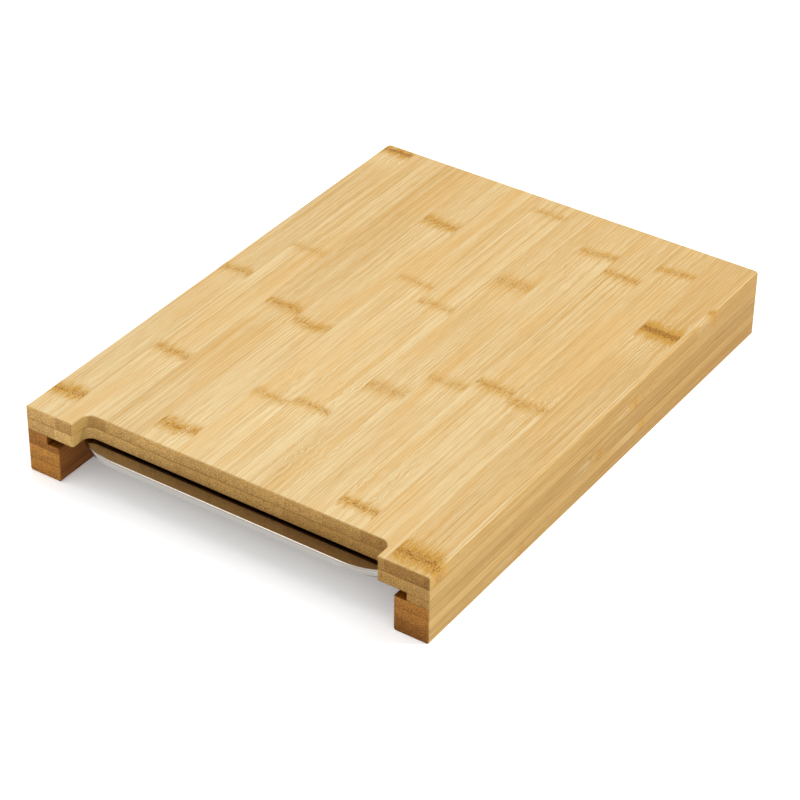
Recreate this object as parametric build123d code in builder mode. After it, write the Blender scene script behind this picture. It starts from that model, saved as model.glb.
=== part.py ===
from build123d import *
from math import radians, tan
import os

os.makedirs("parts", exist_ok=True)

# A bamboo cutting board on two side rails and a rear rail, with a drawn steel tray that
# slides in grooves under it. Millimetres: X runs across the board, Y from the front (where
# the finger notch is) to the back along the grain, Z up. The origin lies on the resting
# surface under the middle of the board.

# Board
board_length = 400.0
board_width = 300.0
upper_ply_thickness = 8.7
lower_ply_thickness = 8.7
rear_corner_round = 3.0
top_edge_round = 1.5
front_edge_chamfer = 0.5

# Strips of the two plies: the first one at the left edge is narrower, the last takes the rest
strip_width = 27.25
upper_first_strip = 23.6
lower_first_strip = 21.9

# Finger notch in the front edge of both plies. What is left on each side of it is an ear,
# which stands out over the inner face of its rail
ear_overhang = 12.0
notch_depth = 15.0
notch_corner_round = 6.0
ear_corner_round = 1.5

# Rails, and the groove in the upper inner corner of each side rail
rail_height = 31.6
side_rail_width = 24.5
rear_rail_width = 24.5
foot_edge_round = 1.5
groove_height = 6.0
groove_depth = 9.0

# Seams between the rails' lamellas, measured down from the top of the rail
left_rail_seams = [10.5, 20.9]
right_rail_seams = [groove_height, 13.6, 21.6]
rear_rail_seams = [10.5, 20.9]

# Tray: one drawn sheet with a turned-down lip round a flat flange
sheet_thickness = 0.8
tray_depth = 22.0
flange_width = 13.5
lip_height = 4.0
lip_round = 1.4
shoulder_round = 3.0
base_round = 9.0
wall_slope = 12.0
tray_corner_round = 47.0

# Clearances of the tray in the board
front_setback = 3.3
rear_clearance = 0.3
side_clearance = 1.5
running_clearance = 0.2

# How far a cutting shape runs on past the face that it leaves through
overcut = 5.0

board_thickness = upper_ply_thickness + lower_ply_thickness
board_height = rail_height + board_thickness
front_y = -board_length / 2
back_y = board_length / 2
left_x = -board_width / 2
right_x = board_width / 2
rail_inner_x = right_x - side_rail_width
notch_width = 2 * (rail_inner_x - ear_overhang)
rear_rail_y = back_y - rear_rail_width


def save(piece, label):
    piece.part.label = label
    export_step(piece.part, "parts/" + label + ".step")


# The wooden body, as it is shaped after its strips and lamellas are glued


def draw_outline():
    """Plan of the whole board, its two rear corners rounded."""
    with BuildSketch() as outline:
        Rectangle(board_width, board_length)
        fillet(outline.vertices().group_by(Axis.Y)[-1], rear_corner_round)
    return outline.sketch


def draw_rail_sections():
    """Sections across both side rails: rounded feet, and the groove open to the inner side."""
    with BuildSketch(Plane.XZ) as section:
        with Locations((rail_inner_x, 0)):
            Rectangle(side_rail_width, rail_height, align=(Align.MIN, Align.MIN))
        fillet(section.vertices().group_by(Axis.Y)[0], foot_edge_round)
        with Locations((rail_inner_x, rail_height)):
            Rectangle(groove_depth, groove_height, align=(Align.MIN, Align.MAX), mode=Mode.SUBTRACT)
        mirror(about=Plane.YZ)
    return section.sketch


def draw_rear_rail_section():
    """Section through the rear rail, from front to back, with rounded feet."""
    with BuildSketch(Plane.YZ) as section:
        with Locations((rear_rail_y, 0)):
            Rectangle(rear_rail_width, rail_height, align=(Align.MIN, Align.MIN))
        fillet(section.vertices().group_by(Axis.Y)[0], foot_edge_round)
    return section.sketch


def draw_notch():
    """Plan of the finger notch; it runs on past the front so that it cuts right through."""
    with BuildSketch() as notch:
        with Locations((0, front_y)):
            Rectangle(notch_width, 2 * notch_depth)
        fillet(notch.vertices().group_by(Axis.Y)[-1], notch_corner_round)
    return notch.sketch


with BuildPart() as board:
    with Locations((0, 0, rail_height)):
        Box(board_width, board_length, board_thickness, align=(Align.CENTER, Align.CENTER, Align.MIN))
    extrude(draw_rail_sections(), amount=board_length / 2, both=True)
    extrude(draw_rear_rail_section(), amount=rail_inner_x, both=True)
    extrude(draw_outline(), amount=board_height, mode=Mode.INTERSECT)
    side_and_rear_edges = board.edges().group_by(Axis.Z)[-1].sort_by(Axis.Y)[1:]
    fillet(side_and_rear_edges, top_edge_round)
    extrude(draw_notch(), amount=board_height + overcut, dir=(0, 0, 1), mode=Mode.SUBTRACT)
    front_uprights = board.edges().filter_by(Axis.Z).filter_by_position(Axis.Y, front_y, front_y)
    ear_edges = front_uprights.sort_by(lambda edge: abs(abs(edge.center().X) - notch_width / 2))[:2]
    fillet(ear_edges, ear_corner_round)
    top_edges = board.edges().group_by(Axis.Z)[-1]
    chamfer(top_edges.filter_by_position(Axis.Y, front_y, front_y + notch_depth), front_edge_chamfer)


# Strips and lamellas: each is the body's share between its own seams


def cut_lamella(label, x_range, y_range, z_range):
    low = Vector(x_range[0], y_range[0], z_range[0])
    size = Vector(x_range[1], y_range[1], z_range[1]) - low
    with BuildPart() as lamella:
        add(board.part)
        with Locations(low):
            Box(size.X, size.Y, size.Z, align=Align.MIN, mode=Mode.INTERSECT)
    save(lamella, label)


def cut_ply(name, first_strip, z_range):
    """Cut one ply of the top board into the strips that lie side by side in it."""
    seams = [left_x - overcut]
    next_seam = left_x + first_strip
    while next_seam < right_x:
        seams.append(next_seam)
        next_seam += strip_width
    seams.append(right_x + overcut)
    for number, x_range in enumerate(zip(seams, seams[1:]), start=1):
        cut_lamella(f"{name}_strip_{number:02d}", x_range, whole_length, z_range)


def cut_rail(name, seam_depths, x_range, y_range):
    """Cut one rail into the lamellas that lie one on another in it."""
    heights = [rail_height] + [rail_height - depth for depth in seam_depths] + [-overcut]
    for number, (top, bottom) in enumerate(zip(heights, heights[1:]), start=1):
        cut_lamella(f"{name}_rail_lamella_{number}", x_range, y_range, (bottom, top))


whole_length = (front_y - overcut, back_y + overcut)
ply_seam_z = rail_height + lower_ply_thickness
cut_ply("upper", upper_first_strip, (ply_seam_z, board_height + overcut))
cut_ply("lower", lower_first_strip, (rail_height, ply_seam_z))
cut_rail("left", left_rail_seams, (left_x - overcut, -rail_inner_x), whole_length)
cut_rail("right", right_rail_seams, (rail_inner_x, right_x + overcut), whole_length)
cut_rail("rear", rear_rail_seams, (-rail_inner_x, rail_inner_x), (rear_rail_y, back_y + overcut))


# The tray: its lip stands on the floors of the grooves

lip_bottom_z = rail_height - groove_height + running_clearance
flange_top_z = lip_bottom_z + lip_height
base_top_z = flange_top_z - tray_depth
tray_front_y = front_y + front_setback
tray_back_y = rear_rail_y - rear_clearance
tray_side_x = rail_inner_x + groove_depth - side_clearance

# Plan distances in from the rim: to the wall's top, to its foot, and to the flat base
wall_top_inset = flange_width
wall_foot_inset = wall_top_inset + tray_depth * tan(radians(wall_slope))
base_inset = wall_foot_inset + base_round


def draw_sheet_section():
    """Section through the sheet at the middle of the front: lip, flange, wall and base."""
    with BuildSketch(Plane.YZ) as section:
        with BuildLine():
            FilletPolyline(
                (tray_front_y, lip_bottom_z),
                (tray_front_y, flange_top_z),
                (tray_front_y + wall_top_inset, flange_top_z),
                (tray_front_y + wall_foot_inset, base_top_z),
                (tray_front_y + base_inset, base_top_z),
                radius=[lip_round, shoulder_round, base_round],
            )
            offset(amount=sheet_thickness, side=Side.RIGHT)
        make_face()
    return section.sketch


with BuildLine(Plane.XY.offset(flange_top_z)) as half_rim:
    FilletPolyline(
        (0, tray_front_y),
        (tray_side_x, tray_front_y),
        (tray_side_x, tray_back_y),
        (0, tray_back_y),
        radius=tray_corner_round,
    )

with BuildPart() as tray:
    sweep(draw_sheet_section(), path=half_rim.line)
    mirror(about=Plane.YZ)
    with BuildSketch(Plane.XY.offset(base_top_z)):
        with Locations((0, (tray_front_y + tray_back_y) / 2)):
            RectangleRounded(
                2 * (tray_side_x - base_inset),
                tray_back_y - tray_front_y - 2 * base_inset,
                tray_corner_round - base_inset,
            )
    extrude(amount=-sheet_thickness)
save(tray, "tray")
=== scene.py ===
"""A bamboo cutting board on three glued-up rails, with a stainless-steel tray that slides out from
under it. Lengths are in metres. X is to the right, Y runs along the grain from the notched front to
the back, Z is up."""

import bpy
from mathutils import Matrix, Vector


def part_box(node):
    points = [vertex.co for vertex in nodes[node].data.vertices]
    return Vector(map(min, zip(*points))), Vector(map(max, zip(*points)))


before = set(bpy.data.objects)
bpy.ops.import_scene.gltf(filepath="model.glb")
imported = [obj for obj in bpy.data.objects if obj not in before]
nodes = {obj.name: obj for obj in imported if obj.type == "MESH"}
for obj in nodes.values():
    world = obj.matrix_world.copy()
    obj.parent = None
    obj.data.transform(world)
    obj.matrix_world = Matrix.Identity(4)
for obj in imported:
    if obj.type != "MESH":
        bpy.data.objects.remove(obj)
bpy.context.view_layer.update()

# ---------------------------------------------------------------- camera
# A long lens on a tripod, to the right of the board's front and above it, tipped a little about its
# own axis.
camera_place = (0.7972112, -1.2073195, 1.0089882)
camera_right = (0.82861493, 0.55971057, 0.01101699)
camera_up = (-0.32805468, 0.46952888, 0.81970895)
camera_lens = 121.2576
camera_sensor = 36.0

camera = bpy.data.objects.new("camera", bpy.data.cameras.new("camera"))
bpy.context.scene.collection.objects.link(camera)
camera.data.lens = camera_lens
camera.data.sensor_width = camera_sensor
camera_back = Vector(camera_right).cross(Vector(camera_up))
camera.matrix_world = Matrix((camera_right, camera_up, camera_back)).transposed().to_4x4()
camera.matrix_world.translation = camera_place
bpy.context.scene.camera = camera
bpy.context.scene.view_settings.view_transform = "Standard"


# ---------------------------------------------------------------- floor
# The white table that the board stands on: matt lacquered glass, lit faintly from below so that
# shadows stay pale, and so large that its edge is never in the picture.
class Wire:
    """An output socket in a material. Sums on it, with numbers or other wires, become Math nodes."""

    def __init__(self, tree, socket=None):
        self.tree = tree
        self.socket = socket

    def add(self, kind, settings=(), sockets=(), out=0):
        """Add a node: its settings first, then the values or wires of its input sockets."""
        node = self.tree.nodes.new("ShaderNode" + kind)
        for name, value in dict(settings).items():
            setattr(node, name, value)
        for name, value in dict(sockets).items():
            if isinstance(value, Wire):
                self.tree.links.new(value.socket, node.inputs[name])
            else:
                node.inputs[name].default_value = value
        return Wire(self.tree, node.outputs[out])

    def math(self, operation, *values):
        return self.add("Math", {"operation": operation}, dict(enumerate(values)))

    def __add__(self, other):
        return self.math("ADD", self, other)

    def __sub__(self, other):
        return self.math("SUBTRACT", self, other)

    def __rsub__(self, other):
        return self.math("SUBTRACT", other, self)

    def __mul__(self, other):
        return self.math("MULTIPLY", self, other)

    def __truediv__(self, other):
        return self.math("DIVIDE", self, other)

    def __abs__(self):
        return self.math("ABSOLUTE", self)

    __radd__ = __add__
    __rmul__ = __mul__

    def above(self, low, high):
        """0 at low, 1 at high, and a smooth change between them; low may be the larger one."""
        settings = {"interpolation_type": "SMOOTHSTEP"}
        return self.add("MapRange", settings, {"Value": self, "From Min": low, "From Max": high})

    def hill(self, half_width):
        """1 where this wire is 0, falling smoothly to 0 at half_width on each side."""
        ratio = self / half_width
        rise = self.math("MAXIMUM", 1 - ratio * ratio, 0)
        return rise * rise

    def blend(self, shade_at_0, shade_at_1):
        """A mix of two colours, with this wire as its factor."""
        factor, first_colour, second_colour, mixed_colour = 0, 6, 7, 2
        settings = {"data_type": "RGBA", "clamp_factor": True}
        sockets = {factor: self, first_colour: shade_at_0, second_colour: shade_at_1}
        return self.add("Mix", settings, sockets, out=mixed_colour)

    def share(self, axis):
        """The part of this vector that lies along one axis: 0 is X, 1 is Y and 2 is Z."""
        return self.add("SeparateXYZ", {}, {0: self}, out=axis)

    def moved(self, vector):
        return self.add("VectorMath", {"operation": "ADD"}, {0: self, 1: vector})

    def stretched(self, across, along, seed=0.0):
        """These coordinates with that many grains to a metre across the fibres and along them."""
        sockets = {0: self, 1: (across, along, across), 2: (seed, seed, seed)}
        return self.add("VectorMath", {"operation": "MULTIPLY_ADD"}, sockets)

    def noise(self, detail=2.0, roughness=0.5):
        sockets = {"Vector": self, "Scale": 1.0, "Detail": detail, "Roughness": roughness}
        return self.add("TexNoise", {}, sockets)


def new_material(name):
    """A material, its Principled shader, and a wire to start from."""
    material = bpy.data.materials.new(name)
    material.use_nodes = True
    return material, material.node_tree.nodes["Principled BSDF"], Wire(material.node_tree)


def feed(shader, name, wire):
    wire.tree.links.new(wire.socket, shader.inputs[name])


def paint(red, green, blue):
    """A colour from its 0 to 255 screen values, as the light that it reflects."""
    shares = [value / 255 for value in (red, green, blue)]
    linear = [share / 12.92 if share < 0.04045 else ((share + 0.055) / 1.055) ** 2.4
              for share in shares]
    return tuple(linear) + (1.0,)


floor_half = 12.0
floor_lacquer = paint(248, 248, 248)
floor_shade = paint(246, 246, 245)
floor_grain = 40.0
floor_roughness = 0.9
floor_gloss = 0.1
floor_glow = 0.20

corners = [(-floor_half, -floor_half, 0), (floor_half, -floor_half, 0),
           (floor_half, floor_half, 0), (-floor_half, floor_half, 0)]
floor_mesh = bpy.data.meshes.new("floor")
floor_mesh.from_pydata(corners, [], [(0, 1, 2, 3)])
floor = bpy.data.objects.new("floor", floor_mesh)
bpy.context.scene.collection.objects.link(floor)
material, shader, start = new_material("floor_lacquer")
place = start.add("TexCoord", out="Object")
cloudy = place.stretched(floor_grain, floor_grain).noise()
feed(shader, "Base Color", cloudy.blend(floor_lacquer, floor_shade))
shader.inputs["Roughness"].default_value = floor_roughness
shader.inputs["Specular IOR Level"].default_value = floor_gloss
shader.inputs["Emission Color"].default_value = floor_lacquer
shader.inputs["Emission Strength"].default_value = floor_glow
floor_mesh.materials.append(material)

# ---------------------------------------------------------------- studio light
# A white tent all round the table, a soft box far off on the right and behind, small enough to give
# the shadow an edge, and a weak one high on the left that draws the bright line along the tray's rim.
tent_white = (1.0, 1.0, 1.0, 1.0)
tent_strength = 1.10
soft_box_size = 0.4
soft_box_place = (2.45, 1.35, 2.72)
soft_box_power = 84.0
rim_box_size = 0.5
rim_box_place = (-0.95, -0.42, 1.85)
rim_box_power = 3.0

world = bpy.data.worlds.new("tent")
world.use_nodes = True
tent = world.node_tree.nodes["Background"]
tent.inputs["Color"].default_value = tent_white
tent.inputs["Strength"].default_value = tent_strength
bpy.context.scene.world = world
boxes = {
    "soft_box": (soft_box_size, soft_box_place, soft_box_power),
    "rim_box": (rim_box_size, rim_box_place, rim_box_power),
}
for name, (size, spot, power) in boxes.items():
    box = bpy.data.objects.new(name, bpy.data.lights.new(name, "AREA"))
    bpy.context.scene.collection.objects.link(box)
    box.data.size = size
    box.data.energy = power
    box.location = spot
    box.rotation_euler = Vector(spot).to_track_quat("Z", "Y").to_euler()

# ---------------------------------------------------------------- upper strips
# The cutting face: twelve flat strips of bamboo, each split from a different culm, so each has its
# own tone and its own knots. They are pressed together edge to edge with glue, planed and sanded
# level, then oiled.
culm_light = paint(204, 184, 141)
culm_dark = paint(178, 141, 82)
culm_gold = paint(192, 150, 86)
side_light = paint(180, 150, 93)
side_dark = paint(156, 120, 59)
# painted shade: a darker, redder colour for the faces inside and under the board, where shade and brown
# bounced light fall
painted_shade_light = paint(142, 86, 24)
painted_shade_dark = paint(96, 50, 6)
knot_gold = paint(174, 130, 50)
knot_dot = paint(132, 84, 24)
knot_pale = paint(208, 188, 144)
end_light = paint(190, 152, 90)
end_dark = paint(122, 90, 46)
glue_brown = paint(110, 74, 30)

# how many grains there are to a metre, across the fibres and along them
drift_grain = (24, 7)
wave_grain = (210, 110)
fibre_grain = (1250, 8)
hair_grain = (1900, 70)
band_grain = (110, 4)
sunny_grain = (60, 9)
knot_fray_grain = (1000, 60)
knot_bow_grain = (45, 1)
knot_dash_grain = (1300, 200)
knot_dot_grain = (1250, 480)
bundle_grain = (1250, 0)
speckle_grain = (1500, 0)
patch_grain = (260, 0)

# how far the fibres sway sideways, everywhere, beside a knot and in a swirl
drift_sway = 0.004
wave_sway = 0.0007
knot_sway = 0.0030
knot_sway_reach = 0.040
swirl_sway = 0.0045

# how deep each thing makes the colour, from 0, its light shade, to 1, its dark one
line_depth = 0.50
hair_depth = 0.26
band_depth = 0.18
least_depth = 0.01
# painted shade: how much darker the top and the sides get towards the back, between these two places
# along Y
face_back_shade_depth = 0.22
side_back_shade_depth = 0.45
back_shade_from_y = -0.2
back_shade_to_y = 0.2
sunny_strength = 0.32

# a knot's frayed gold band, dotted core and pale neighbour; their reaches are in lengths of the knot
knot_fray = 0.016
knot_bow = 0.008
gold_reach = 1.05
gold_strength = 1.25
core_reach = 0.5
pale_offset = 1.7
pale_reach = 2.0
pale_strength = 0.3
plain_gold = 0.35
dash_gold = 0.6
dot_strength = 0.7
core_strength = 0.45

# the glue lines between strips of one ply, and between plies or lamellas
edge_glue_half = 0.0004
ply_glue_half = 0.0007
ply_glue_gain = 2.2
glue_on_faces = 0.18
glue_on_ends = 0.26

# the cut ends: how much each thing darkens them
speckle_depth = 0.6
patch_depth = 0.6
skin_depth = 0.28
least_end_depth = 0.02

# the oiled surface
wood_roughness = 0.46
line_roughness = 0.10
end_roughness = 0.12
wood_gloss = 0.12
fibre_bump = 0.45
fibre_relief = 0.0003


def scaled(colour, tone):
    return tuple(value * tone for value in colour[:3]) + (1.0,)


def deepened(colour, tone):
    """A colour darkened as oil darkens wood, which makes it redder too."""
    return (colour[0] * tone, colour[1] * tone ** 1.3, colour[2] * tone ** 1.9, 1.0)


def bamboo(name, tone, warmth, ends, seed, knots, swirls, seams_x, seams_z, outer=None):
    """Oiled bamboo with its fibres along Y: brown dashed bands at the knots, and dotted cut ends.
    Ends are the light and the dark colour of the cut ends. A knot is its place along the strip, its
    strength and its length; a swirl is wavy grain at a place, with its reach and its amount. Seams
    are where it is glued to others. Outer is the direction of its outer face: its other faces, or
    without it the face that looks down, get a darker, redder colour, painted shade for the shade and
    bounced light inside and under the board."""
    material, shader, start = new_material(name)
    place = start.add("TexCoord", out="Object")
    x = place.share(0)
    y = place.share(1)
    z = place.share(2)
    facing = start.add("NewGeometry", out="Normal")
    across = abs(facing.share(1)).above(0.55, 0.8)
    sawn = abs(facing.share(0)).above(0.5, 0.8)
    # painted shade: picks the faces that get the darker colour, those turned away from the outer side,
    # or without it the downward faces
    if outer:
        toward = start.add("VectorMath", {"operation": "DOT_PRODUCT"}, {0: facing, 1: outer}, out=1)
        painted_shade_mask = toward.above(0.7, 0.3)
    else:
        painted_shade_mask = facing.share(2).above(-0.5, -0.8)

    # how far each fibre strays: a slow drift everywhere, and waves beside a knot or in a swirl
    wave = place.stretched(*wave_grain, seed).noise(2.0, 0.5) - 0.5
    stray = (place.stretched(*drift_grain, seed).noise() - 0.5) * drift_sway + wave * wave_sway
    for along, strength, length in knots:
        stray = stray + wave * (y - along).hill(knot_sway_reach) * (knot_sway * strength)
    for along, reach, amount in swirls:
        stray = stray + wave * (y - along).hill(reach) * (swirl_sway * amount)
    place_bent = place.moved(start.add("CombineXYZ", {}, {0: stray}))

    # fibres of two sizes, the broad bands that they lie in, and golden patches
    fibre = place_bent.stretched(*fibre_grain, seed).noise(2.0, 0.5)
    hair = place_bent.stretched(*hair_grain, seed).noise(2.0, 0.6)
    band = place_bent.stretched(*band_grain, seed).noise(2.0, 0.5)
    sunny = place_bent.stretched(*sunny_grain, seed).noise(1.0, 0.5).above(0.46, 0.66)
    lines = fibre.above(0.62, 0.34)
    hairs = hair.above(0.60, 0.36)
    bands = band.above(0.25, 0.75)
    depth = lines * line_depth + hairs * hair_depth + bands * band_depth + (warmth + least_depth)
    # painted shade: darker towards the back, a little on the top and more on the sides
    back_painted_shade = y.above(back_shade_from_y, back_shade_to_y)
    colour = (depth + back_painted_shade * face_back_shade_depth).blend(scaled(culm_light, tone), scaled(culm_dark, tone))
    colour = (sunny * sunny_strength).blend(colour, scaled(culm_gold, tone))
    side = (depth + back_painted_shade * side_back_shade_depth).blend(deepened(side_light, tone), deepened(side_dark, tone))
    # painted shade: the darker, redder colour for the faces inside and under the board
    shaded_colour = depth.blend(scaled(painted_shade_light, tone), scaled(painted_shade_dark, tone))
    colour = painted_shade_mask.blend(sawn.blend(colour, side), shaded_colour)
    height = fibre * 0.6 + hair * 0.4

    if knots:
        ragged = place_bent.stretched(*knot_fray_grain, seed).noise(2.0, 0.6) - 0.5
        bow = (place.stretched(*knot_bow_grain, seed).noise() - 0.5) * knot_bow
        gold = 0
        core = 0
        pale = 0
        for along, strength, length in knots:
            off = y - along + bow
            frayed = (off + ragged * knot_fray).hill(length * gold_reach)
            gold = gold + frayed * (gold_strength * strength)
            core = core + off.hill(length * core_reach) * strength
            pale = pale + (off + length * pale_offset).hill(length * pale_reach) * strength
        dashes = place_bent.stretched(*knot_dash_grain, seed).noise(2.0, 0.6).above(0.40, 0.62)
        dots = place_bent.stretched(*knot_dot_grain, seed).noise(1.0, 0.5).above(0.50, 0.62)
        paleness = pale * fibre.above(0.35, 0.65) * pale_strength
        colour = paleness.blend(colour, scaled(knot_pale, tone))
        colour = (gold * (plain_gold + dashes * dash_gold)).blend(colour, scaled(knot_gold, tone))
        brownness = core * dots * dot_strength + core.above(0.9, 1.8) * core_strength
        colour = brownness.blend(colour, scaled(knot_dot, tone))
        height = height - core * dots * 0.4

    # the glue lines, seen only on faces that they run out to
    glue = 0
    for seam in seams_x:
        glue = glue + (x - seam).hill(edge_glue_half)
    for seam in seams_z:
        upright = 1 - abs(facing.share(2)).above(0.3, 0.6)
        glue = glue + (z - seam).hill(ply_glue_half) * upright * ply_glue_gain
    colour = (glue * glue_on_faces).blend(colour, glue_brown)

    # the cut ends: bundles of fibre show as brown dots in paler pith, closer towards the skin
    low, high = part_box(name)
    skinward = (z - low.z) / (high.z - low.z)
    cells = {"Vector": place.stretched(*bundle_grain, seed), "Scale": 1.0, "Randomness": 0.7}
    bundles = start.add("TexVoronoi", {}, cells).above(0.75, 0.05)
    speckle = (place.stretched(*speckle_grain, seed).noise(1.0, 0.6) - 0.5) * speckle_depth
    patch = (place.stretched(*patch_grain, seed).noise(2.0, 0.5) - 0.5) * patch_depth
    pits = bundles + speckle + patch + (0.5 - skinward) * skin_depth + least_end_depth
    end = (glue * glue_on_ends).blend(pits.blend(*ends), glue_brown)

    feed(shader, "Base Color", across.blend(colour, end))
    feed(shader, "Roughness", wood_roughness + lines * line_roughness + across * end_roughness)
    bump = {"Strength": fibre_bump, "Distance": fibre_relief, "Height": height}
    feed(shader, "Normal", start.add("Bump", {}, bump))
    shader.inputs["Specular IOR Level"].default_value = wood_gloss
    return material


# each strip's tone, warmth, end tone, knots and swirls
upper_strips = [
    (0.98, 0.00, 1.00, [(0.193, 1.6, 0.009), (0.001, 0.8, 0.008), (-0.173, 1.2, 0.011)], []),
    (1.00, -0.04, 0.86, [(0.049, 0.4, 0.008), (-0.101, 0.8, 0.009)], [(-0.135, 0.02, 0.6)]),
    (0.99, 0.12, 0.97, [(-0.016, 0.9, 0.009)], []),
    (1.00, -0.02, 0.98, [(0.129, 1.0, 0.010), (-0.025, 0.8, 0.009), (-0.163, 1.1, 0.010)], []),
    (1.02, -0.02, 0.94, [(0.057, 0.5, 0.007), (-0.105, 0.6, 0.008)], [(-0.08, 0.03, 0.8)]),
    (1.01, -0.04, 0.92, [(0.181, 0.5, 0.008), (0.039, 0.6, 0.008), (-0.100, 0.7, 0.007)],
     [(-0.075, 0.03, 0.8)]),
    (1.00, 0.01, 0.88, [(0.092, 0.6, 0.014), (-0.058, 0.6, 0.013)],
     [(-0.14, 0.04, 1.2), (0.13, 0.03, 0.7)]),
    (1.00, 0.01, 0.86, [(0.156, 0.8, 0.008), (-0.030, 0.6, 0.009)], [(0.12, 0.03, 0.6)]),
    (1.00, 0.01, 0.82, [(0.141, 0.8, 0.008), (-0.017, 0.8, 0.010), (-0.166, 1.0, 0.008)],
     [(-0.13, 0.04, 0.9)]),
    (1.00, 0.05, 0.64, [(0.166, 0.8, 0.008), (-0.023, 0.7, 0.010)], [(-0.005, 0.03, 0.9)]),
    (0.97, 0.20, 0.55, [(0.096, 2.0, 0.013), (-0.188, 1.4, 0.017)], []),
    (0.98, 0.08, 0.51, [(0.138, 0.9, 0.008), (-0.190, 1.2, 0.014)], []),
]
upper_seed_step = 3.7

for number, (tone, warmth, end_tone, knots, swirls) in enumerate(upper_strips, 1):
    name = f"upper_strip_{number:02d}"
    low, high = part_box(name)
    seams_x = [low.x] * (number > 1) + [high.x] * (number < len(upper_strips))
    ends = (deepened(end_light, end_tone), deepened(end_dark, end_tone))
    seed = upper_seed_step * number
    wood = bamboo(name, tone, warmth, ends, seed, knots, swirls, seams_x, [low.z])
    nodes[name].material_slots[0].material = wood

# ---------------------------------------------------------------- lower strips
# The second ply under the cutting face, of the same strips, glued on with its seams beside the upper
# ones. One knot a strip, at places that step along the board and come round again.
lower_tone = 0.99
lower_ends = [0.97, 1.08, 0.98, 0.96, 0.88, 0.85, 0.82, 0.76, 0.70, 0.70, 0.79, 0.78]
lower_knot_step = 0.137
lower_knot_span = 0.36
lower_knot_from_y = -0.17
lower_knot_strength = 0.8
lower_knot_length = 0.009
lower_seed = 50
lower_seed_step = 2.3

for number, end_tone in enumerate(lower_ends, 1):
    name = f"lower_strip_{number:02d}"
    low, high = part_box(name)
    seams_x = [low.x] * (number > 1) + [high.x] * (number < len(lower_ends))
    along = (number * lower_knot_step) % lower_knot_span + lower_knot_from_y
    knots = [(along, lower_knot_strength, lower_knot_length)]
    ends = (deepened(end_light, end_tone), deepened(end_dark, end_tone))
    seed = lower_seed + lower_seed_step * number
    wood = bamboo(name, lower_tone, 0.00, ends, seed, knots, [], seams_x, [low.z, high.z])
    nodes[name].material_slots[0].material = wood

# ---------------------------------------------------------------- rails
# Stacks of bamboo lamellas under the left, right and back edges. The tray's grooves are milled into
# the side rails. Their cut ends are browner than the plies', but for the right rail's top lamella.
rail_end_light = paint(176, 122, 50)
rail_end_dark = paint(96, 54, 12)
brown_ends = (rail_end_light, rail_end_dark)
ply_ends = (end_light, end_dark)
left_side = (-1, 0, 0)
right_side = (1, 0, 0)
rear_side = (0, 1, 0)
rail_seed = 100
rail_seed_step = 1.9
above_floor = 0.001

# each lamella's outer side, tone, warmth, the colours of its cut ends, their tone, and its knots
rail_lamellas = {
    "left_rail_lamella_1": (left_side, 0.86, 0.00, brown_ends, 0.68, []),
    "left_rail_lamella_2": (left_side, 0.92, 0.02, brown_ends, 0.95, [(0.062, 0.8, 0.010)]),
    "left_rail_lamella_3": (left_side, 0.86, 0.00, brown_ends, 0.88, [(-0.118, 0.8, 0.010)]),
    "right_rail_lamella_1": (right_side, 0.89, 0.00, ply_ends, 0.66, []),
    "right_rail_lamella_2": (right_side, 0.87, 0.00, brown_ends, 0.79, [(-0.009, 0.9, 0.010)]),
    "right_rail_lamella_3": (right_side, 1.00, 0.02, brown_ends, 0.80, [(0.045, 0.7, 0.012)]),
    "right_rail_lamella_4": (right_side, 0.88, 0.00, brown_ends, 0.56, [(-0.10, 0.4, 0.010)]),
    "rear_rail_lamella_1": (rear_side, 0.86, 0.00, brown_ends, 0.90, []),
    "rear_rail_lamella_2": (rear_side, 0.92, 0.00, brown_ends, 1.00, []),
    "rear_rail_lamella_3": (rear_side, 0.86, 0.00, brown_ends, 0.85, []),
}
for number, (name, lamella) in enumerate(rail_lamellas.items()):
    outer, tone, warmth, ends, end_tone, knots = lamella
    low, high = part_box(name)
    seams_z = [low.z] * (low.z > above_floor) + [high.z]
    ends = [deepened(shade, end_tone) for shade in ends]
    seed = rail_seed + rail_seed_step * number
    wood = bamboo(name, tone, warmth, ends, seed, knots, [], [], seams_z, outer)
    nodes[name].material_slots[0].material = wood

# ---------------------------------------------------------------- tray
# One drawn sheet of polished stainless steel. Its flange runs in the rails' grooves. Its lip and its
# other steep faces are coloured darker than the flat ones, a painted shade for the shadowed floor that
# the lip reflects.
steel_flat = (0.42, 0.375, 0.325, 1.0)
# painted shade: the steep faces of the same steel are coloured darker
steel_steep_painted_shade = (0.34, 0.325, 0.305, 1.0)
steel_roughness = 0.14
brushed_roughness = 0.08
brushed_grain = 60
brushed_bump = 0.04
brushed_relief = 0.0003

steel, shader, start = new_material("polished_steel")
place = start.add("TexCoord", out="Object")
facing = start.add("NewGeometry", out="Normal")
level = abs(facing.share(2)).above(0.2, 0.8)
feed(shader, "Base Color", level.blend(steel_steep_painted_shade, steel_flat))
shader.inputs["Metallic"].default_value = 1.0
brushed = place.stretched(brushed_grain, brushed_grain).noise(3.0, 0.6)
feed(shader, "Roughness", steel_roughness + brushed * brushed_roughness)
bump = {"Strength": brushed_bump, "Distance": brushed_relief, "Height": brushed}
feed(shader, "Normal", start.add("Bump", {}, bump))
nodes["tray"].material_slots[0].material = steel
